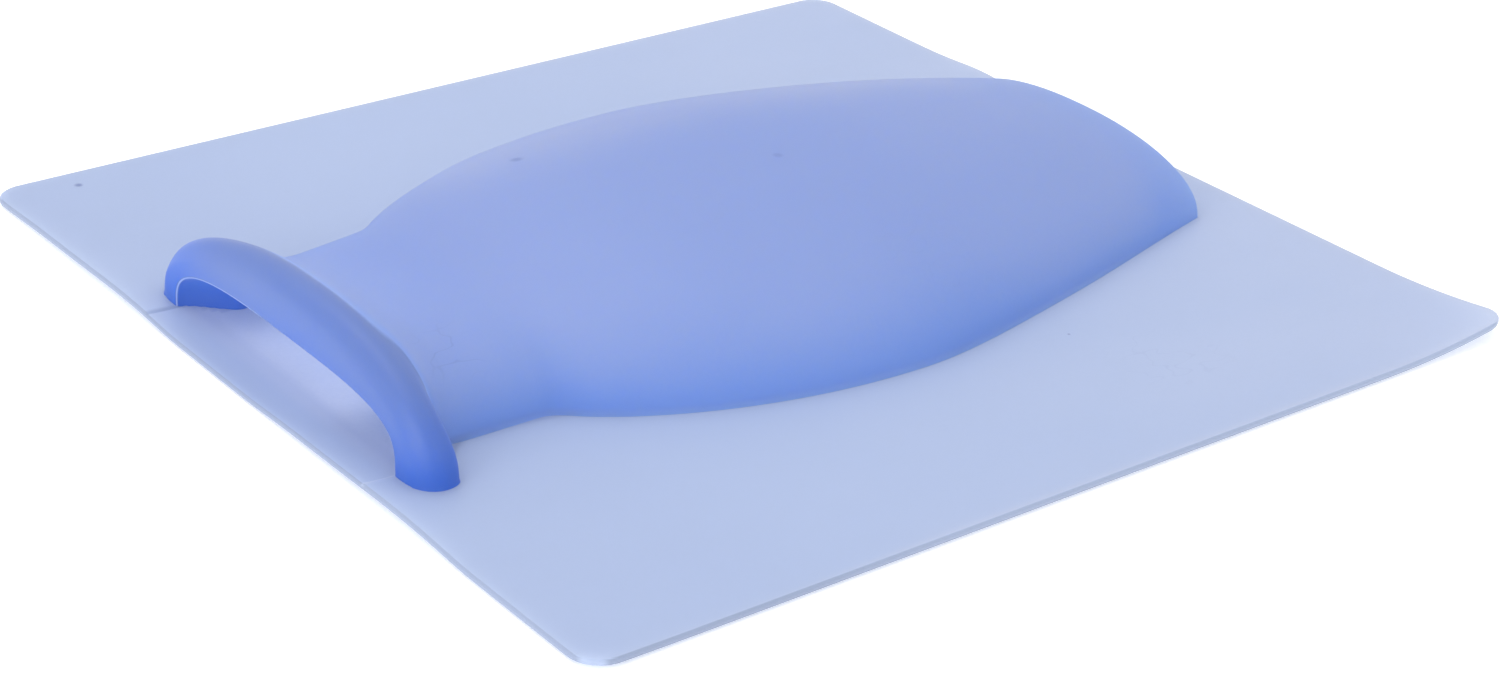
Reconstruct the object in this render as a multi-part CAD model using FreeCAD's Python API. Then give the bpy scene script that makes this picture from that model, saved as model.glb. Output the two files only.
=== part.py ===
import FreeCAD
import Part
import math
import os

# Mortar hawk: a square, flexible plastic board that carries mortar on one face and has a hand
# pocket moulded on the other.  The hand goes in at the rolled mouth near one edge and lies in a
# low vault that is open again at the finger end.
#
# Frame: millimetres, +Z up, pocket on top, mortar face down on z = 0.  The origin is the middle
# of the board's underside.  X runs along the hand, from the mouth (-X) to the fingers (+X).

# ---- driving dimensions ----
BOARD_SIDE = 300.0
BOARD_THICKNESS = 1.8
CORNER_RADIUS = 8.5
CURL_START = 178.0         # distance from the centre, along the diagonal, where one corner curls
CURL_LIFT = 3.4            # how far the tip of that corner stands up

WALL = 2.4                 # wall of the pocket
FLOOR_STEP = 0.3           # the pocket's core pressed this far into the board

MOUTH_FRONT_X = -141.0     # front of the rolled lip
CREST_X = -135.0           # highest and widest ring of the lip
LIP_BACK_X = -128.7        # back of the lip, where the neck starts
CREASE_X = -91.0           # where the straight neck opens into the palm vault
WIDEST_X = 3.0
CROWN_X = -15.0
FINGER_END_X = 129.5

MOUTH_HALF_WIDTH = 54.8    # hole of the mouth, at its front
MOUTH_HEIGHT = 16.0
CREST_HALF_WIDTH = 67.2
CREST_HEIGHT = 30.0
NECK_HALF_WIDTH = 47.4
NECK_HEIGHT = 19.8
PALM_HALF_WIDTH = 79.2
PALM_HEIGHT = 31.6
FINGER_HALF_WIDTH = 51.4
FINGER_HEIGHT = 17.4
FLARE_WIDTH = 3.5          # how much wider and higher the neck is where it meets the lip
FLARE_HEIGHT = 6.8
FLARE_END_X = -110.0
FUNNEL_END_X = -126.0      # where the mouth's funnel has narrowed to the hollow of the neck

# exponents of the arches: 2 is an ellipse, more is squarer
MOUTH_SQUARENESS = 4.0
CREST_SQUARENESS = 2.1
NECK_SQUARENESS = 2.7
PALM_SQUARENESS = 2.2

ARCH_STEPS = 24
TOP_Z = BOARD_THICKNESS


def smooth(value):
    """0 below 0, 1 above 1, and an even S between them."""
    t = min(max(value, 0.0), 1.0)
    return t * t * (3.0 - 2.0 * t)


def mix(a, b, share):
    return a + (b - a) * share


def spread(start, end, count):
    return [mix(start, end, i / (count - 1)) for i in range(count)]


# ---- the pocket's outlines, as formulas of x ----
def flare(x):
    """1 where the neck meets the lip, easing to 0 down the neck."""
    return max(FLARE_END_X - x, 0.0) ** 2 / (FLARE_END_X - LIP_BACK_X) ** 2


def half_width(x):
    """Straight neck, a quick swell to the palm, then a nearly straight taper to the fingers."""
    if x <= CREASE_X:
        return NECK_HALF_WIDTH + FLARE_WIDTH * flare(x)
    if x <= WIDEST_X:
        swell = (WIDEST_X - x) / (WIDEST_X - CREASE_X)
        return NECK_HALF_WIDTH + (PALM_HALF_WIDTH - NECK_HALF_WIDTH) * (1.0 - swell ** 2) ** 0.8
    softness = 0.18
    taper = (x - WIDEST_X) / (FINGER_END_X - WIDEST_X)
    drop = math.hypot(taper, softness) - softness
    full_drop = math.hypot(1.0, softness) - softness
    return mix(PALM_HALF_WIDTH, FINGER_HALF_WIDTH, drop / full_drop)


def height(x):
    """Low neck, a rise over the knuckles, and a fall towards the fingertips."""
    top = mix(NECK_HEIGHT, PALM_HEIGHT, smooth((x + 124.0) / 78.0)) + FLARE_HEIGHT * flare(x)
    if x <= CROWN_X:
        return top
    return top - (PALM_HEIGHT - FINGER_HEIGHT) * ((x - CROWN_X) / (FINGER_END_X - CROWN_X)) ** 2.4


def squareness(x):
    return mix(NECK_SQUARENESS, PALM_SQUARENESS, smooth((x + 110.0) / 50.0))


def outer_section(x):
    return (x, half_width(x), height(x), squareness(x))


def inner_section(x):
    """Hollow of the pocket; the flare is outside only, so it is left out here."""
    neck_x = max(x, FLARE_END_X)
    return (x, half_width(neck_x) - WALL, height(neck_x) - WALL, squareness(x))


def mouth_section(x):
    """Funnel from the mouth's front down to the hollow of the neck."""
    share = smooth((x - MOUTH_FRONT_X) / (FUNNEL_END_X - MOUTH_FRONT_X))
    _, width, rise, exponent = inner_section(x)
    return (
        x,
        mix(MOUTH_HALF_WIDTH, width, share),
        mix(MOUTH_HEIGHT, rise, share),
        mix(MOUTH_SQUARENESS, exponent, share),
    )


def lip_section(angle):
    """Ring of the lip at an angle round its roll: 0 is the front face, 90 the crest."""
    s = math.sin(math.radians(angle))
    c = math.cos(math.radians(angle))
    reach = CREST_X - MOUTH_FRONT_X if angle < 90.0 else LIP_BACK_X - CREST_X
    x = CREST_X - reach * c
    set_back = 4.0 if angle < 90.0 else 1.8
    return (
        x,
        CREST_HALF_WIDTH - set_back * (1.0 - s),
        CREST_HEIGHT - (1.0 - s) * (set_back + (1.0 if angle < 90.0 else 1.2)),
        CREST_SQUARENESS,
    )


# ---- building helpers ----
def arch_wire(x, width, rise, exponent):
    """Closed section: a superelliptic arch standing on the board, and the line between its feet."""
    points = []
    for i in range(ARCH_STEPS + 1):
        c = math.cos(math.pi * i / ARCH_STEPS)
        s = math.sqrt(max(1.0 - c * c, 0.0))
        y = width * math.copysign(abs(c) ** (2.0 / exponent), c)
        points.append(FreeCAD.Vector(x, y, TOP_Z + rise * s ** (2.0 / exponent)))
    arch = Part.BSplineCurve()
    arch.interpolate(points)
    return Part.Wire([arch.toShape(), Part.makeLine(points[-1], points[0])])


def tunnel(sections):
    return Part.makeLoft([arch_wire(*section) for section in sections], True)


def palm_stations():
    """Crowded where the outline swells out of the neck, even along the taper."""
    reach = WIDEST_X - CREASE_X
    swell = [WIDEST_X - reach * math.cos(math.radians(10.0 * i)) for i in range(9)]
    return swell + spread(WIDEST_X, FINGER_END_X, 9)


# ---- sub-parts ----
def palm_vault():
    """The wide part of the pocket, over palm and fingers."""
    stations = palm_stations()
    outer = tunnel([outer_section(x) for x in stations])
    return outer.cut(tunnel([inner_section(x) for x in stations]))


def neck_sleeve():
    """Narrow sleeve between lip and palm."""
    stations = spread(LIP_BACK_X, CREASE_X, 8)
    outer = tunnel([outer_section(x) for x in stations])
    return outer.cut(tunnel([mouth_section(x) for x in stations]))


def mouth_lip():
    """Thick rolled lip round the mouth."""
    outer = tunnel([lip_section(angle) for angle in (0.0, 15.0, 35.0, 60.0, 90.0, 120.0, 150.0, 180.0)])
    return outer.cut(tunnel([mouth_section(x) for x in spread(MOUTH_FRONT_X, LIP_BACK_X, 5)]))


def curled_sheet():
    """Sheet that is flat up to CURL_START along +X and then rolls upwards."""
    reach = (BOARD_SIDE / 2.0 - CORNER_RADIUS) * math.sqrt(2.0) + CORNER_RADIUS - CURL_START
    bend_radius = (reach ** 2 + CURL_LIFT ** 2) / (2.0 * CURL_LIFT)
    wide = 2.0 * BOARD_SIDE
    flat = Part.makeBox(wide, wide, BOARD_THICKNESS, FreeCAD.Vector(CURL_START - wide, -BOARD_SIDE, 0))
    axis_point = FreeCAD.Vector(CURL_START, BOARD_SIDE, bend_radius)
    along = FreeCAD.Vector(0, -1, 0)
    curl = Part.makeCylinder(bend_radius, wide, axis_point, along)
    curl = curl.cut(Part.makeCylinder(bend_radius - BOARD_THICKNESS, wide, axis_point, along))
    window = Part.makeBox(2.0 * reach, wide, 60.0, FreeCAD.Vector(CURL_START, -BOARD_SIDE, -5.0))
    return flat.fuse(curl.common(window))


def core_floor():
    """Flat shape of the step left in the board by the pocket's core, from the edge inwards."""
    sides = []
    for side in (1.0, -1.0):
        edge_x = -BOARD_SIDE / 2.0
        start = FreeCAD.Vector(edge_x, side * MOUTH_HALF_WIDTH, TOP_Z)
        runs = []
        for section, stations in (
            (mouth_section, spread(MOUTH_FRONT_X, CREASE_X, 14)),
            (inner_section, palm_stations()),
        ):
            run = Part.BSplineCurve()
            run.interpolate([FreeCAD.Vector(x, side * section(x)[1], TOP_Z) for x in stations])
            runs.append(run)
        sides.append([Part.makeLine(start, runs[0].StartPoint)] + [run.toShape() for run in runs])
    ends = [
        Part.makeLine(sides[0][0].Vertexes[0].Point, sides[1][0].Vertexes[0].Point),
        Part.makeLine(sides[0][2].Vertexes[-1].Point, sides[1][2].Vertexes[-1].Point),
    ]
    outline = Part.Wire(Part.__sortEdges__(sides[0] + sides[1] + ends))
    return Part.Face(outline).extrude(FreeCAD.Vector(0, 0, -FLOOR_STEP))


def board():
    """Square sheet, flat but for the one corner that has taken a slight curl."""
    half = BOARD_SIDE / 2.0
    outline = Part.makeBox(BOARD_SIDE, BOARD_SIDE, 40.0, FreeCAD.Vector(-half, -half, -10.0))
    uprights = [e for e in outline.Edges if e.BoundBox.ZLength > 30.0]
    outline = outline.makeFillet(CORNER_RADIUS, uprights)
    sheet = curled_sheet()
    sheet.rotate(FreeCAD.Vector(0, 0, 0), FreeCAD.Vector(0, 0, 1), -45.0)
    return sheet.common(outline).removeSplitter().cut(core_floor())


def main():
    os.makedirs("parts", exist_ok=True)
    made = {
        "board": board(),
        "mouth_lip": mouth_lip(),
        "neck_sleeve": neck_sleeve(),
        "palm_vault": palm_vault(),
    }
    for name, shape in made.items():
        solid = shape.Solids[0]
        print(name, len(shape.Solids), "solid, valid", solid.isValid(), "volume", round(solid.Volume))
        solid.exportStep("parts/" + name + ".step")


main()
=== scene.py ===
import bpy
import math
import numpy as np
from mathutils import Matrix, Vector


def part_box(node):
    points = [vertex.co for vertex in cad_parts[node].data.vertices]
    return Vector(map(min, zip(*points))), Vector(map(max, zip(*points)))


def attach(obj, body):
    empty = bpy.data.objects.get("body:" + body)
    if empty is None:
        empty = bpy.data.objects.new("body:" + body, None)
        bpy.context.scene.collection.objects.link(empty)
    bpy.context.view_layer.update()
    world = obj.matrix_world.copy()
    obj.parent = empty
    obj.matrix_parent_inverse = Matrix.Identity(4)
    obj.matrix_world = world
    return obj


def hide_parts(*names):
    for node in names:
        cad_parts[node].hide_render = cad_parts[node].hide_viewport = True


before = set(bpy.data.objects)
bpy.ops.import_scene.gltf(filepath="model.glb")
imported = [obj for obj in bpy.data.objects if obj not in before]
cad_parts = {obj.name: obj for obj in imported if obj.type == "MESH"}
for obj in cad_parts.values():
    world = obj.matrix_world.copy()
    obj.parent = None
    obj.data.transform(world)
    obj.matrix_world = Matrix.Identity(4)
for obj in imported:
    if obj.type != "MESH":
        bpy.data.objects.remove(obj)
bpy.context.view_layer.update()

MM = 0.001
_, board_hi = (np.array(corner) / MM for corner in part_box("board"))
lip_lo, lip_hi = (np.array(corner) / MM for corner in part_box("mouth_lip"))
_, neck_hi = (np.array(corner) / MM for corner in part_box("neck_sleeve"))
_, palm_hi = (np.array(corner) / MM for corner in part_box("palm_vault"))

# ---- sizes in millimetres, in the CAD frame ----
HALF = board_hi[0]
CORNER = 8.5
TOP = float(lip_lo[2])
EDGE_ROUND = 0.75
CURL_START = 178.0
CURL_LIFT = 3.4
FLOOR_STEP = 0.3
WALL = 2.4
FILLET = 1.8
RIM_ROUND = 0.45
OUTER_SINK = 0.15  # how far the foot of the wall's outer face goes into the board
INNER_SINK = 0.6  # and that of its inner face
CREASE_SOFTNESS = 4.0  # half of the length over which the outline's kink is rounded
WAVE_PITCH = 140.0  # of the waves in the edge under the mouth
WAVE_FADE = 11.0
FINGER_LIFT = 1.2  # of the edge at the finger end
FINGER_LIFT_Y = 66.0
FINGER_LIFT_REACH = 15.0
FINGER_LIFT_FADE = 18.0
MOUTH_X = float(lip_lo[0])
CREST_X = -135.0
LIP_BACK_X = float(lip_hi[0])
FUNNEL_END_X = -126.0
CREASE_X = float(neck_hi[0])
WIDEST_X = 3.0
CROWN_X = -15.0
END_X = float(palm_hi[0])
NECK_W, NECK_H = 47.4, 19.8
PALM_W, PALM_H = float(palm_hi[1]), float(palm_hi[2]) - TOP
END_W, END_H = 51.4, 17.4
MOUTH_W, MOUTH_H = 54.8, 16.0
CREST_W, CREST_H = float(lip_hi[1]), float(lip_hi[2]) - TOP
# exponents of the superelliptic arches; the lip and the mouth are rounder on the far side, at +y
NECK_N, PALM_N = 2.7, 2.2
CREST_FAR_N = 2.1
MOUTH_N, MOUTH_FAR_N = 3.9, 3.0
FUNNEL_N = 4.0


def smooth(value):
    t = np.clip(value, 0.0, 1.0)
    return t * t * (3.0 - 2.0 * t)


def mix(a, b, share):
    return a + (b - a) * share


# ---- outlines of the pocket, as in the CAD ----
def half_width(x):
    x = np.asarray(x, float)
    swell = np.clip((WIDEST_X - x) / (WIDEST_X - CREASE_X), 0.0, 1.0)
    front = NECK_W + (PALM_W - NECK_W) * (1.0 - swell**2) ** 0.8
    soft = 0.18  # how gently the taper towards the fingers sets in
    taper = np.clip((x - WIDEST_X) / (END_X - WIDEST_X), 0.0, None)
    share = (np.hypot(taper, soft) - soft) / (math.hypot(1.0, soft) - soft)
    return np.where(x <= CREASE_X, NECK_W, np.where(x <= WIDEST_X, front, mix(PALM_W, END_W, share)))


def soft_width(x):
    """The same outline with its kink at the crease rounded, as the moulding has it."""
    shifts = np.linspace(-CREASE_SOFTNESS, CREASE_SOFTNESS, 17)
    return np.mean([half_width(x + shift) for shift in shifts])


def height(x):
    x = np.asarray(x, float)
    top = mix(NECK_H, PALM_H, smooth((x + 124.0) / 78.0))
    fall = np.clip((x - CROWN_X) / (END_X - CROWN_X), 0.0, None) ** 2.4
    return top - (PALM_H - END_H) * fall


def squareness(x):
    return mix(NECK_N, PALM_N, smooth((np.asarray(x, float) + 110.0) / 50.0))


# ---- mesh helpers ----
def mesh_object(name, points, faces):
    mesh = bpy.data.meshes.new(name)
    mesh.from_pydata((np.asarray(points) * MM).tolist(), [], faces)
    mesh.validate()
    mesh.update()
    mesh.polygons.foreach_set("use_smooth", [True] * len(mesh.polygons))
    obj = bpy.data.objects.new(name, mesh)
    bpy.context.scene.collection.objects.link(obj)
    return obj


def spline(points, count):
    """Points along a natural cubic through the given ones, its parameter by chord length to the 0.75."""
    p = np.asarray(points, float)
    t = np.concatenate([[0.0], np.cumsum(np.linalg.norm(np.diff(p, axis=0), axis=1) ** 0.75)])
    n, h = len(t), np.diff(t)
    a, r = np.eye(n), np.zeros((n, p.shape[1]))
    for i in range(1, n - 1):
        a[i, i - 1 : i + 2] = h[i - 1], 2.0 * (h[i - 1] + h[i]), h[i]
        r[i] = 6.0 * ((p[i + 1] - p[i]) / h[i] - (p[i] - p[i - 1]) / h[i - 1])
    m = np.linalg.solve(a, r)
    q = np.linspace(0.0, t[-1], count)
    k = np.clip(np.searchsorted(t, q, side="right") - 1, 0, n - 2)
    lo, hi, s = (t[k + 1] - q)[:, None], (q - t[k])[:, None], h[k][:, None]
    return (
        m[k] * lo**3 / (6 * s) + m[k + 1] * hi**3 / (6 * s)
        + (p[k] / s - m[k] * s / 6) * lo + (p[k + 1] / s - m[k + 1] * s / 6) * hi
    )


# ---- board ----
def sheet_lift(x, y):
    """How far the sheet stands off the table: one curled corner, and slight waves at two edges."""
    reach = (HALF - CORNER) * math.sqrt(2.0) + CORNER - CURL_START
    radius = (reach**2 + CURL_LIFT**2) / (2.0 * CURL_LIFT)
    s = np.clip((x - y) / math.sqrt(2.0) - CURL_START, 0.0, None)
    curl = radius - np.sqrt(radius**2 - s**2)
    turn = 2.0 * math.pi / WAVE_PITCH
    wave = 0.45 + 1.0 * np.cos(turn * (y + 54.0)) + 0.3 * np.cos(2.0 * turn * (y + 10.0))
    wave = 0.5 * (wave + np.sqrt(wave**2 + 0.04))  # never below the table
    mouth_edge = wave * np.exp(-(x + HALF) / WAVE_FADE)
    across = np.exp(-(((y - FINGER_LIFT_Y) / FINGER_LIFT_REACH) ** 2))
    finger_edge = FINGER_LIFT * across * np.exp((x - HALF) / FINGER_LIFT_FADE)
    return curl + mouth_edge + finger_edge


def step_depth(x, y):
    """Depth of the floor that the pocket's core pressed into the sheet."""
    share = smooth((x - MOUTH_X) / (FUNNEL_END_X - MOUTH_X))
    width = np.where(x < FUNNEL_END_X, mix(MOUTH_W, NECK_W - WALL, share), half_width(x) - WALL)
    width = np.where(x > LIP_BACK_X, width + 1.2, width)
    across = np.clip((width - np.abs(y)) / 0.5 + 0.5, 0.0, 1.0)
    along = np.clip((END_X - x) / 0.5 + 0.5, 0.0, 1.0)
    return FLOOR_STEP * smooth(across) * smooth(along)


def rounded_square(u, v, half, corner):
    """Moves points of a square grid so that its rings turn into squares with rounded corners."""
    ring = np.maximum(np.abs(u), np.abs(v))
    ring = np.where(ring < 1e-9, 1e-9, ring)
    side = np.abs(u) >= np.abs(v)
    main = np.where(side, u, v)
    other = np.where(side, v, u)
    radius = corner * (ring / half) ** 3
    straight = ring - radius
    along = np.abs(other) / ring * (straight + radius * math.pi / 4.0)
    angle = np.clip((along - straight) / np.where(radius > 1e-6, radius, 1.0), 0.0, math.pi / 4.0)
    turned = along > straight
    out_main = np.where(turned, straight + radius * np.cos(angle), ring)
    out_other = np.where(turned, straight + radius * np.sin(angle), along)
    out_main = out_main * np.sign(main)
    out_other = out_other * np.sign(other)
    return np.where(side, out_main, out_other), np.where(side, out_other, out_main)


def ring_faces(one, other):
    """Quads between two closed rings with as many points each."""
    return np.stack([one, other, np.roll(other, -1), np.roll(one, -1)], -1).tolist()


def make_board():
    """The sheet as one closed mesh, its grid denser along the step's edges."""
    flat = HALF - EDGE_ROUND
    lines = np.linspace(-flat, flat, 163)
    extra_y = [s * (MOUTH_W + d) for s in (-1, 1) for d in (-1.0, -0.6, -0.25, 0.0, 0.25, 0.6, 1.0)]
    extra_x = [END_X + d for d in (-0.3, -0.1, 0.1, 0.3)]
    xs = np.unique(np.concatenate([lines, extra_x]))
    ys = np.unique(np.concatenate([lines, extra_y]))
    gx, gy = np.meshgrid(xs, ys, indexing="ij")
    px, py = rounded_square(gx, gy, flat, CORNER - EDGE_ROUND)
    lift = sheet_lift(px, py)
    nx, ny = gx.shape
    top = np.stack([px, py, TOP + lift - step_depth(px, py)], -1).reshape(-1, 3)
    low = np.stack([px, py, lift], -1).reshape(-1, 3)
    at = np.arange(nx * ny).reshape(nx, ny)
    quads = np.stack([at[:-1, :-1], at[1:, :-1], at[1:, 1:], at[:-1, 1:]], -1).reshape(-1, 4)
    points = [top, low]
    faces = quads.tolist() + (quads[:, ::-1] + nx * ny).tolist()

    # the rounded side face, from the top ring down to the low ring
    loop = np.concatenate([at[:-1, 0], at[-1, :-1], at[:0:-1, -1], at[0, :0:-1]])
    ring_xy = top[loop, :2]
    ahead, behind = np.roll(ring_xy, -1, 0), np.roll(ring_xy, 1, 0)
    tangent = (ahead - behind) / np.linalg.norm(ahead - behind, axis=1)[:, None]
    normal = np.stack([tangent[:, 1], -tangent[:, 0]], -1)
    ring_top = TOP + sheet_lift(ring_xy[:, 0], ring_xy[:, 1])
    ring_step = step_depth(ring_xy[:, 0], ring_xy[:, 1])
    previous = loop
    base = 2 * nx * ny
    flat_side = TOP - 2.0 * EDGE_ROUND
    for turn in (22.5, 45.0, 67.5, 90.0, 90.5, 112.5, 135.0, 157.5):
        a = math.radians(turn)
        drop = EDGE_ROUND * (1.0 - math.cos(a)) + (flat_side if turn > 90.0 else 0.0)
        z = ring_top - drop - ring_step * max(0.0, 1.0 - drop / TOP)
        points.append(np.column_stack([ring_xy + normal * EDGE_ROUND * math.sin(a), z]))
        current = base + np.arange(len(loop))
        faces += ring_faces(previous, current)
        previous = current
        base += len(loop)
    faces += ring_faces(previous, loop + nx * ny)
    return mesh_object("board_sheet", np.concatenate(points), faces)


# ---- pocket ----
FOOT_POINTS = np.array([0.0, 0.2, 0.45, 0.75, 1.1, 1.5, 2.0, 2.6])  # from the foot, along the arch
ARCH_COUNT = 96
VAULT_ROWS, CREASE_ROWS, NECK_ROWS, LIP_ROWS = 97, 14, 12, 56
EDGE_ROW = VAULT_ROWS + CREASE_ROWS + NECK_ROWS + LIP_ROWS  # the row on the mouth's edge
FILLET_END_ROW = EDGE_ROW - LIP_ROWS + int(LIP_ROWS * 0.86)  # where the lip turns in to the mouth
FUNNEL_ROWS, INSIDE_ROWS = 18, 104
NECK_END_X = -113.0  # where the lip's rows take over from the neck's


def arch(foot_x, width, crown_x, rise, exponent, far_exponent=None):
    """Points of one arch from the foot at -y to the foot at +y, as a superellipse.

    The feet stand at foot_x and the crown at crown_x. The half at +y can have its own exponent.
    """
    a = np.linspace(0.0, math.pi, 1201)
    c, s = np.cos(a), np.abs(np.sin(a))
    power = 2.0 / np.where(c < 0.0, far_exponent or exponent, exponent)
    y = -width * np.sign(c) * np.abs(c) ** power
    z = rise * s**power
    run = np.concatenate([[0.0], np.cumsum(np.hypot(np.diff(y), np.diff(z)))])
    middle = np.linspace(FOOT_POINTS[-1], run[-1] - FOOT_POINTS[-1], ARCH_COUNT)
    at = np.concatenate([FOOT_POINTS[:-1], middle, (run[-1] - FOOT_POINTS[:-1])[::-1]])
    y, z = np.interp(at, run, y), np.interp(at, run, z)
    up = smooth((z / rise - 0.05) / 0.85)
    return np.column_stack([mix(foot_x, crown_x, up), y, z])


def lip_profiles(count):
    """Foot outline and crown outline of the rolled lip, from the neck round to the mouth's edge."""
    foot = spline(
        [
            (-116.0, NECK_W), (-122.0, NECK_W), (-126.4, NECK_W + 0.5), (-128.3, NECK_W + 3.0),
            (LIP_BACK_X, NECK_W + 8.0), (LIP_BACK_X, CREST_W - 4.6), (-129.5, CREST_W - 1.6),
            (-132.0, CREST_W - 0.2), (CREST_X, CREST_W), (-138.0, CREST_W - 1.4),
            (-140.1, CREST_W - 4.2), (-140.9, CREST_W - 7.4), (MOUTH_X, MOUTH_W + 0.7),
        ],
        count,
    )
    crown = spline(
        [
            (-115.0, 20.4), (-119.0, 21.1), (-123.0, 22.8), (-127.0, 25.7), (-131.0, 28.7),
            (CREST_X, CREST_H), (-138.2, 29.0), (-140.3, 26.0), (MOUTH_X, 22.0), (MOUTH_X, MOUTH_H + 0.9),
        ],
        count,
    )
    return foot, crown


def zipper(points, one, other):
    """Triangles between two chains of points that start and end side by side."""
    runs = []
    for chain in (one, other):
        run = np.concatenate([[0.0], np.cumsum(np.linalg.norm(np.diff(points[chain], axis=0), axis=1))])
        runs.append(run / run[-1])
    made, i, j = [], 0, 0
    while i < len(one) - 1 or j < len(other) - 1:
        if j == len(other) - 1 or (i < len(one) - 1 and runs[0][i + 1] <= runs[1][j + 1]):
            made.append((one[i], one[i + 1], other[j]))
            i += 1
        else:
            made.append((one[i], other[j + 1], other[j]))
            j += 1
    return made


def pocket_rows():
    """Arches round the pocket's wall: finger end to mouth on the outside, and back on the inside."""
    rows = []
    for x in np.concatenate([[END_X - 0.05], np.linspace(END_X - 0.5, CREASE_X + 6.0, VAULT_ROWS - 1)]):
        rows.append(arch(x, soft_width(x) if x < 0.0 else half_width(x), x, height(x), squareness(x)))
    for x in np.linspace(CREASE_X + 5.0, CREASE_X - 5.0, CREASE_ROWS):
        rows.append(arch(x, soft_width(x), x, height(x), squareness(x)))
    for x in np.linspace(CREASE_X - 6.5, NECK_END_X, NECK_ROWS):
        rows.append(arch(x, NECK_W, x, height(x), squareness(x)))

    foot, crown = lip_profiles(LIP_ROWS)
    for k in range(LIP_ROWS):
        near, far = NECK_N, mix(NECK_N, CREST_FAR_N, smooth(k / (0.5 * LIP_ROWS)))
        if k > 0.75 * LIP_ROWS:
            turn = smooth((k / LIP_ROWS - 0.75) / 0.25)
            near, far = mix(NECK_N, MOUTH_N, turn), mix(CREST_FAR_N, MOUTH_FAR_N, turn)
        rows.append(arch(foot[k, 0], foot[k, 1], crown[k, 0], crown[k, 1], near, far))
    edge_x = MOUTH_X + 0.25
    rows.append(arch(edge_x, MOUTH_W + 0.15, edge_x, MOUTH_H + 0.2, MOUTH_N, MOUTH_FAR_N))

    funnel_w, funnel_h = NECK_W - WALL, float(height(FUNNEL_END_X)) - WALL
    funnel_xs = np.linspace(MOUTH_X + 2.0, FUNNEL_END_X, FUNNEL_ROWS)
    for x in np.concatenate([[MOUTH_X + 0.6, MOUTH_X + 1.2], funnel_xs]):
        share = smooth((x - MOUTH_X) / (FUNNEL_END_X - MOUTH_X))
        width, rise = mix(MOUTH_W, funnel_w, share), mix(MOUTH_H, funnel_h, share)
        near, far = mix(FUNNEL_N, NECK_N, share), mix(MOUTH_FAR_N, NECK_N, share)
        rows.append(arch(x, width, x, rise, near, far))
    for x in np.concatenate([np.linspace(FUNNEL_END_X + 2.0, END_X - 0.5, INSIDE_ROWS), [END_X - 0.05]]):
        rows.append(arch(x, half_width(x) - WALL, x, height(x) - WALL, squareness(x)))
    for inset in (WALL - RIM_ROUND, RIM_ROUND):
        rows.append(arch(END_X, half_width(END_X) - inset, END_X, height(END_X) - inset, squareness(END_X)))
    return np.array(rows)


def add_fillet(rows):
    """Spreads the foot of the outside into a small fillet, fainter at the lip and at the finger end."""
    normal = np.cross(np.roll(rows, -1, 0) - np.roll(rows, 1, 0), np.gradient(rows, axis=1))
    normal[..., 2] = 0.0
    length = np.linalg.norm(normal, axis=2)
    normal /= np.where(length > 1e-9, length, 1.0)[..., None]
    normal *= np.sign((normal[..., 1] * np.sign(rows[..., 1]))[20, 0])
    z = np.clip(rows[..., 2], 0.0, FILLET)
    push = FILLET - np.sqrt(FILLET**2 - (FILLET - z) ** 2)
    push *= mix(0.2, 1.0, smooth((rows[..., 0] + 126.0) / 8.0))
    push *= mix(1.0, 0.1, smooth((rows[..., 0] - END_X + 62.0) / 60.0))
    push[FILLET_END_ROW:] = 0.0
    rows[..., :2] += normal[..., :2] * push[..., None]


def make_pocket():
    """The pocket as one closed mesh. Also returns its points, row by row."""
    rows = pocket_rows()
    count, width = rows.shape[:2]
    add_fillet(rows)
    # the feet follow the waves of the sheet, and the wall levels out above them
    rows[..., 2] += TOP + sheet_lift(rows[..., 0], rows[..., 1]) * (1.0 - smooth(rows[..., 2] / 14.0))
    rows[:, 0, 2] = rows[:, -1, 2] = TOP - OUTER_SINK
    rows[FILLET_END_ROW:, 0, 2] = rows[FILLET_END_ROW:, -1, 2] = TOP - INNER_SINK

    at = np.arange(count * width).reshape(count, width)
    wrap = np.vstack([at, at[:1]])
    faces = np.stack([wrap[:-1, :-1], wrap[:-1, 1:], wrap[1:, 1:], wrap[1:, :-1]], -1).reshape(-1, 4).tolist()
    for column, flip in ((0, False), (width - 1, True)):
        foot_outer, foot_inner = at[: EDGE_ROW + 1, column], at[:EDGE_ROW:-1, column]
        for triangle in zipper(rows[:, column], foot_outer // width, foot_inner // width):
            corners = [at[row, column] for row in triangle]
            faces.append(corners[::-1] if flip else corners)
    return mesh_object("hand_pocket", rows.reshape(-1, 3), faces), rows


# ---- materials ----
def node(tree, kind, **settings):
    made = tree.nodes.new(kind)
    for key, value in settings.items():
        setattr(made, key, value)
    return made


def maths(tree, operation, a, b=None, c=None):
    made = node(tree, "ShaderNodeMath", operation=operation)
    for socket, value in zip(made.inputs, (a, b, c)):
        if value is None:
            continue
        if isinstance(value, (int, float)):
            socket.default_value = value
        else:
            tree.links.new(value, socket)
    return made.outputs[0]


def ramp(tree, value, stops):
    made = node(tree, "ShaderNodeValToRGB")
    band = made.color_ramp
    band.interpolation = "EASE"
    while len(band.elements) < len(stops):
        band.elements.new(0.5)
    for element, (place, colour) in zip(band.elements, stops):
        element.position = place
        element.color = (*colour, 1.0)
    tree.links.new(value, made.inputs[0])
    return made.outputs[0]


def noise(tree, coords, scale, detail, rough=0.5, stretch=None):
    if stretch:
        mapping = node(tree, "ShaderNodeMapping")
        mapping.inputs["Scale"].default_value = stretch
        tree.links.new(coords, mapping.inputs[0])
        coords = mapping.outputs[0]
    made = node(tree, "ShaderNodeTexNoise")
    made.inputs["Scale"].default_value = scale
    made.inputs["Detail"].default_value = detail
    made.inputs["Roughness"].default_value = rough
    tree.links.new(coords, made.inputs["Vector"])
    return made.outputs[0]


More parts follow.
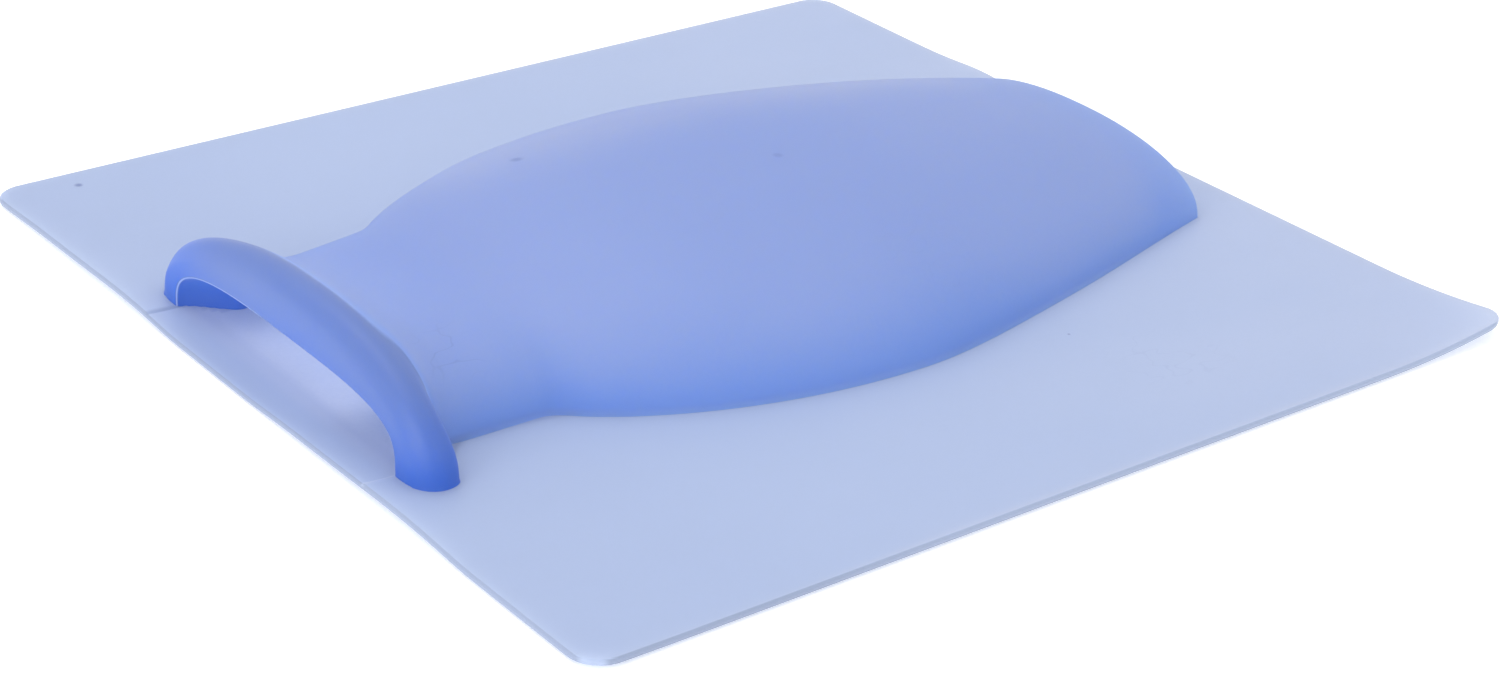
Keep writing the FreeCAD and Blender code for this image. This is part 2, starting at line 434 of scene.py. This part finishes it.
def speck(tree, coords, place, radius, strength):
    """A dot with a soft edge, at a place in the frame, in millimetres."""
    gap = node(tree, "ShaderNodeVectorMath", operation="DISTANCE")
    gap.inputs[1].default_value = [c * MM for c in place]
    tree.links.new(coords, gap.inputs[0])
    made = node(tree, "ShaderNodeMapRange", interpolation_type="SMOOTHSTEP")
    made.inputs["From Min"].default_value = radius * MM
    made.inputs["From Max"].default_value = 0.25 * radius * MM
    made.inputs["To Min"].default_value = 0.0
    made.inputs["To Max"].default_value = strength
    tree.links.new(gap.outputs["Value"], made.inputs["Value"])
    return made.outputs[0]


def hairlines(tree, coords, place, radius, strength):
    """Fine curved scratches, within a radius of a place in the frame, in millimetres."""
    field = noise(tree, coords, 170.0, 1.0, 0.5, (0.6, 1.0, 1.0))
    off = maths(tree, "ABSOLUTE", maths(tree, "SUBTRACT", field, 0.5))
    line = node(tree, "ShaderNodeMapRange", interpolation_type="SMOOTHSTEP")
    line.inputs["From Min"].default_value = 0.022  # a line's half width, in steps of the noise
    line.inputs["From Max"].default_value = 0.004
    tree.links.new(off, line.inputs["Value"])
    return maths(tree, "MULTIPLY", line.outputs[0], speck(tree, coords, place, radius, strength))


ROUGHNESS = 0.42
BUMP = 0.25
MARK_COLOUR = (0.03, 0.05, 0.22, 1.0)


def soft_plastic(name, stops, through, share, specks, scratches, scatter):
    """Milky blue plastic that lets light through.

    The attribute 'depth' says how deep its blue looks at each point, painted light and shade included, as a
    place on the ramps 'stops' (its surface) and 'through' (the light that passes). The attribute 'thin' says
    how much light passes.
    """
    mat = bpy.data.materials.new(name)
    mat.use_nodes = True
    tree = mat.node_tree
    links = tree.links
    shader = tree.nodes["Principled BSDF"]
    coords = node(tree, "ShaderNodeTexCoord").outputs["Object"]
    depth = node(tree, "ShaderNodeAttribute", attribute_name="depth").outputs["Fac"]

    cloud = noise(tree, coords, 14.0, 3.0)
    flow = noise(tree, coords, 26.0, 4.0, 0.55, (0.35, 1.0, 1.0))
    grain = noise(tree, coords, 900.0, 2.0)
    depth = maths(tree, "MULTIPLY_ADD", maths(tree, "SUBTRACT", cloud, 0.5), 0.10, depth)
    depth = maths(tree, "MULTIPLY_ADD", maths(tree, "SUBTRACT", flow, 0.5), 0.07, depth)
    depth = maths(tree, "MULTIPLY_ADD", maths(tree, "SUBTRACT", grain, 0.5), 0.04, depth)
    colour = ramp(tree, depth, stops)
    dots = None
    for place, radius, strength in specks:
        one = speck(tree, coords, place, radius, strength)
        dots = one if dots is None else maths(tree, "MAXIMUM", dots, one)
    for place, radius, strength in scratches:
        dots = maths(tree, "MAXIMUM", dots, hairlines(tree, coords, place, radius, strength))
    darker = node(tree, "ShaderNodeMix", data_type="RGBA")
    links.new(dots, darker.inputs["Factor"])
    links.new(colour, darker.inputs["A"])
    darker.inputs["B"].default_value = MARK_COLOUR
    links.new(darker.outputs["Result"], shader.inputs["Base Color"])

    rough = maths(tree, "MULTIPLY_ADD", flow, 0.16, ROUGHNESS - 0.08)
    rough = maths(tree, "MULTIPLY_ADD", grain, 0.06, rough)
    links.new(rough, shader.inputs["Roughness"])
    shader.inputs["IOR"].default_value = 1.46
    shader.inputs["Specular IOR Level"].default_value = 0.6
    shader.inputs["Sheen Weight"].default_value = 0.2
    shader.inputs["Sheen Roughness"].default_value = 0.4
    if scatter:
        shader.inputs["Subsurface Weight"].default_value = 0.6
        shader.inputs["Subsurface Radius"].default_value = (0.3, 0.45, 1.0)
        shader.inputs["Subsurface Scale"].default_value = scatter
    relief = maths(tree, "MULTIPLY_ADD", flow, 0.6, maths(tree, "MULTIPLY", grain, 0.05))
    push = node(tree, "ShaderNodeBump")
    push.inputs["Strength"].default_value = BUMP
    push.inputs["Distance"].default_value = 0.0012
    links.new(relief, push.inputs["Height"])
    links.new(push.outputs[0], shader.inputs["Normal"])

    # light that enters one face of a wall leaves by the other, so a wall scatters it only once
    inner_face = node(tree, "ShaderNodeNewGeometry").outputs["Backfacing"]
    tint = node(tree, "ShaderNodeMix", data_type="RGBA")
    links.new(inner_face, tint.inputs["Factor"])
    links.new(ramp(tree, depth, through), tint.inputs["A"])
    tint.inputs["B"].default_value = (1.0, 1.0, 1.0, 1.0)
    glow = node(tree, "ShaderNodeBsdfTranslucent")
    links.new(tint.outputs["Result"], glow.inputs["Color"])
    thin = node(tree, "ShaderNodeAttribute", attribute_name="thin").outputs["Fac"]
    reach = node(tree, "ShaderNodeMix", data_type="FLOAT")
    links.new(inner_face, reach.inputs["Factor"])
    reach.inputs["A"].default_value = share
    reach.inputs["B"].default_value = 1.0
    passing = maths(tree, "MULTIPLY", thin, reach.outputs["Result"])
    both = node(tree, "ShaderNodeMixShader")
    links.new(passing, both.inputs[0])
    links.new(shader.outputs[0], both.inputs[1])
    links.new(glow.outputs[0], both.inputs[2])
    links.new(both.outputs[0], tree.nodes["Material Output"].inputs["Surface"])
    return mat


def put(obj, name, values):
    layer = obj.data.attributes.new(name, "FLOAT", "POINT")
    layer.data.foreach_set("value", np.asarray(values, np.float32).ravel())


def places(obj):
    co = np.zeros(len(obj.data.vertices) * 3, np.float32)
    obj.data.vertices.foreach_get("co", co)
    return co.reshape(-1, 3) / MM


def paint_sheet(obj):
    """Depth of blue on the sheet: deeper towards the mouth, pale at the rim as a painted highlight, darker on
    the side face as painted shade, and pale inside the pocket as painted light.
    """
    x, y, z = places(obj).T
    rim = HALF - np.maximum(np.abs(x), np.abs(y))
    above = z - sheet_lift(x, y)
    side_face = (rim < 0.7).astype(float)
    on_top = above > 0.6 * TOP
    depth = 0.52 - 0.09 * x / HALF + 0.02 * y / HALF
    depth += 0.06 * smooth((-50.0 - x) / 60.0)
    # painted highlight along the rounded rim of the sheet
    depth -= 0.15 * np.exp(-np.clip(rim - 1.0, 0.0, None))
    # painted shade on the side face, darkest along its lower edge
    depth += side_face * np.where(above < 0.5, 0.6, 0.42)
    # painted shade just inside the mouth, then painted light on the floor deeper inside the pocket, standing
    # in for light that the shell lets through
    in_mouth = on_top * step_depth(x, y) / FLOOR_STEP
    depth += 0.03 * in_mouth - 0.50 * in_mouth * smooth((x - MOUTH_X + 8.0) / 16.0)
    # painted shade along the far line and a painted highlight along the near line, where the core's edges
    # leave steps between the lip's feet and the edge of the board
    core_line_shading = np.exp(-(((np.abs(y) - MOUTH_W) / 0.5) ** 2)) * smooth((MOUTH_X + 3.0 - x) / 3.0)
    depth += on_top * core_line_shading * np.where(y > 0.0, 0.55, -0.30)
    put(obj, "depth", depth)
    put(obj, "thin", 1.0 - 0.7 * side_face)


def paint_pocket(obj, rows):
    """Depth of blue on the pocket: pale on the crown and deeper towards the feet as painted light and shade,
    deeper on the lip with painted shade on its lower part, and painted shade on the inside.
    """
    x, y, z = rows[..., 0], rows[..., 1], rows[..., 2] - TOP
    level = np.clip(z / np.maximum(height(x), 1.0), 0.0, 1.0)
    # painted light and shade on the shell: pale towards the crown, painted shade towards the feet, with less
    # of it at the neck
    foot = 0.27 - 0.07 * smooth((-85.0 - x) / 12.0)
    shell = 0.24 + 0.08 * smooth((-80.0 - x) / 20.0) + foot * (1.0 - level) ** 1.3
    shell += 0.16 * smooth((x - 95.0) / 35.0) - 0.06 * smooth((x - 10.0) / 60.0)
    # painted highlight on the upper far side, where the light grazes the shell
    shell -= 0.28 * smooth((y - 5.0) / 60.0) * level * smooth((x + 95.0) / 40.0)
    # less painted shade at the foot of the finger end
    shell -= 0.14 * smooth((x - 112.0) / 14.0) * (1.0 - level) ** 2

    lip_level = np.clip(z / CREST_H, 0.0, 1.0)
    # the lip is deeper blue, with painted shade towards its lower part
    lip = 0.64 + 0.34 * (1.0 - lip_level) ** 1.2
    lip += 0.08 * smooth((y - 25.0) / 30.0) + 0.07 * smooth(1.0 - np.abs(y + 15.0) / 40.0)
    lipness = smooth((-122.0 - 4.5 * smooth((lip_level - 0.7) / 0.25) - x) / 8.0)
    depth = mix(shell, lip, lipness)

    inside = np.arange(len(rows)) > EDGE_ROW
    funnel = smooth((-114.0 - x) / 14.0)
    # painted shade inside the pocket, deeper towards the mouth
    depth[inside] = mix(0.55, 0.90, funnel)[inside]
    # painted highlight along the mouth's edge, pale on the far side and at the near foot, with painted shade
    # on the near side between them
    edge_y = y[EDGE_ROW]
    depth[EDGE_ROW] = mix(0.85, 0.30, smooth((edge_y + 5.0) / 25.0) + (edge_y < -51.0))
    put(obj, "depth", depth)
    put(obj, "thin", np.where(inside[:, None], 1.0 - 0.4 * funnel, 1.0 - 0.5 * lipness))


# ---- the object ----
sheet = make_board()
pocket, rows = make_pocket()
paint_sheet(sheet)
paint_pocket(pocket, rows)

# the palest stop serves the painted light on the pocket's floor and the painted highlight on the rim; the
# deepest serves the painted shade on the side face
SHEET_STOPS = [
    (0.0, (0.87, 0.88, 0.90)), (0.3, (0.43, 0.48, 0.62)),
    (0.55, (0.36, 0.43, 0.59)), (1.0, (0.25, 0.30, 0.43)),
]
POCKET_STOPS = [
    (0.0, (0.60, 0.62, 0.75)), (0.25, (0.415, 0.475, 0.73)), (0.50, (0.28, 0.40, 0.80)),
    (0.64, (0.115, 0.182, 0.455)), (1.0, (0.055, 0.16, 0.63)),
]
SHEET_GLOW = [(0.0, (0.66, 0.73, 0.91)), (1.0, (0.52, 0.62, 0.88))]
POCKET_GLOW = [
    (0.0, (0.58, 0.67, 0.86)), (0.25, (0.48, 0.61, 0.87)), (0.50, (0.35, 0.53, 0.88)),
    (0.64, (0.182, 0.297, 0.605)), (1.0, (0.09, 0.24, 0.77)),
]
# marks: place, radius, strength
SHEET_SPECKS = [((-127.0, 140.5, TOP), 1.7, 0.8), ((47.0, -87.0, TOP), 0.6, 0.8)]
SHEET_SCRATCHES = [((60.0, -112.0, TOP), 22.0, 0.10), ((-132.0, 62.0, TOP), 10.0, 0.12)]
POCKET_SPECKS = [
    ((-48.5, 33.0, 30.1), 2.6, 0.75), ((9.5, -7.5, 33.2), 2.0, 0.5), ((-138.5, -58.0, 11.0), 1.0, 0.8),
]
POCKET_SCRATCHES = [((-112.0, -33.0, 17.0), 13.0, 0.32), ((20.0, -60.0, 20.0), 25.0, 0.06)]
SHEET_SHARE, POCKET_SHARE = 0.35, 0.64  # how much of the light passes through a thin wall
POCKET_SCATTER = 0.003
sheet.data.materials.append(
    soft_plastic("sheet_plastic", SHEET_STOPS, SHEET_GLOW, SHEET_SHARE, SHEET_SPECKS, SHEET_SCRATCHES, 0.0)
)
pocket.data.materials.append(
    soft_plastic(
        "pocket_plastic", POCKET_STOPS, POCKET_GLOW, POCKET_SHARE, POCKET_SPECKS, POCKET_SCRATCHES,
        POCKET_SCATTER,
    )
)
for obj in (sheet, pocket):
    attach(obj, "root")
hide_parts("board")
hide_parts("mouth_lip", "neck_sleeve", "palm_vault")

# ---- studio ----
floor_mesh = bpy.data.meshes.new("studio_floor")
FLOOR_REACH, FLOOR_Z = 6.0, -0.0004
floor_corners = [(FLOOR_REACH * i, FLOOR_REACH * j, FLOOR_Z) for i, j in ((-1, -1), (1, -1), (1, 1), (-1, 1))]
floor_mesh.from_pydata(floor_corners, [], [(0, 1, 2, 3)])
floor = bpy.data.objects.new("studio_floor", floor_mesh)
bpy.context.scene.collection.objects.link(floor)
paper = bpy.data.materials.new("studio_paper")
paper.use_nodes = True
paper_inputs = paper.node_tree.nodes["Principled BSDF"].inputs
paper_inputs["Base Color"].default_value = (0.92, 0.92, 0.92, 1.0)
paper_inputs["Roughness"].default_value = 0.9
paper_inputs["Emission Color"].default_value = (1.0, 1.0, 1.0, 1.0)
paper_inputs["Emission Strength"].default_value = 0.25
floor_mesh.materials.append(paper)

world = bpy.data.worlds.new("studio")
bpy.context.scene.world = world
world.use_nodes = True
sky = world.node_tree.nodes["Background"].inputs
sky["Color"].default_value = (1.0, 1.0, 1.0, 1.0)
sky["Strength"].default_value = 0.985


def area(name, place, aim, size, power):
    """A square area light, in metres and watts."""
    light = bpy.data.lights.new(name, "AREA")
    light.shape = "SQUARE"
    light.size = size
    light.energy = power
    obj = bpy.data.objects.new(name, light)
    bpy.context.scene.collection.objects.link(obj)
    obj.location = place
    obj.rotation_euler = (Vector(aim) - Vector(place)).to_track_quat("-Z", "Y").to_euler()
    return obj


area("overhead_box", (-0.1, 0.5, 1.4), (0.0, 0.0, 0.0), 1.2, 8.1)
area("mouth_fill", (-1.1, -0.35, 0.30), (-0.13, 0.0, 0.01), 0.6, 4.5)
# stands in for the daylight that reaches the mouth's floor through the neck
glow = area("light_through_the_neck", (-0.121, 0.016, 0.0160), (-0.121, 0.016, 0.0), 0.07, 0.0041)
glow.data.shape = "RECTANGLE"
glow.data.color = (1.0, 0.97, 0.90)
glow.data.size, glow.data.size_y = 0.034, 0.074
glow.data.spread = math.radians(100.0)
glow.visible_camera = False

camera_data = bpy.data.cameras.new("camera")
camera = bpy.data.objects.new("camera", camera_data)
bpy.context.scene.collection.objects.link(camera)
bpy.context.scene.camera = camera
CAMERA_ANGLES = (-38.14, 26.59, 2.19)
CAMERA_AIM = Vector((-0.0220, -0.0384, -0.0003))
CAMERA_DISTANCE = 0.8122
azimuth, elevation, roll = (math.radians(a) for a in CAMERA_ANGLES)
back = Vector((
    math.sin(azimuth) * math.cos(elevation), -math.cos(azimuth) * math.cos(elevation), math.sin(elevation)
))
right = (-back).cross(Vector((0.0, 0.0, 1.0))).normalized()
up = right.cross(-back)
side = right * math.cos(roll) + up * math.sin(roll)
over = up * math.cos(roll) - right * math.sin(roll)
place = CAMERA_AIM + back * CAMERA_DISTANCE
camera.matrix_world = Matrix([(side[i], over[i], back[i], place[i]) for i in range(3)] + [(0, 0, 0, 1)])
camera_data.sensor_width = 36.0
camera_data.lens = 73.95
camera_data.clip_start = 0.01

bpy.context.scene.view_settings.view_transform = "Standard"
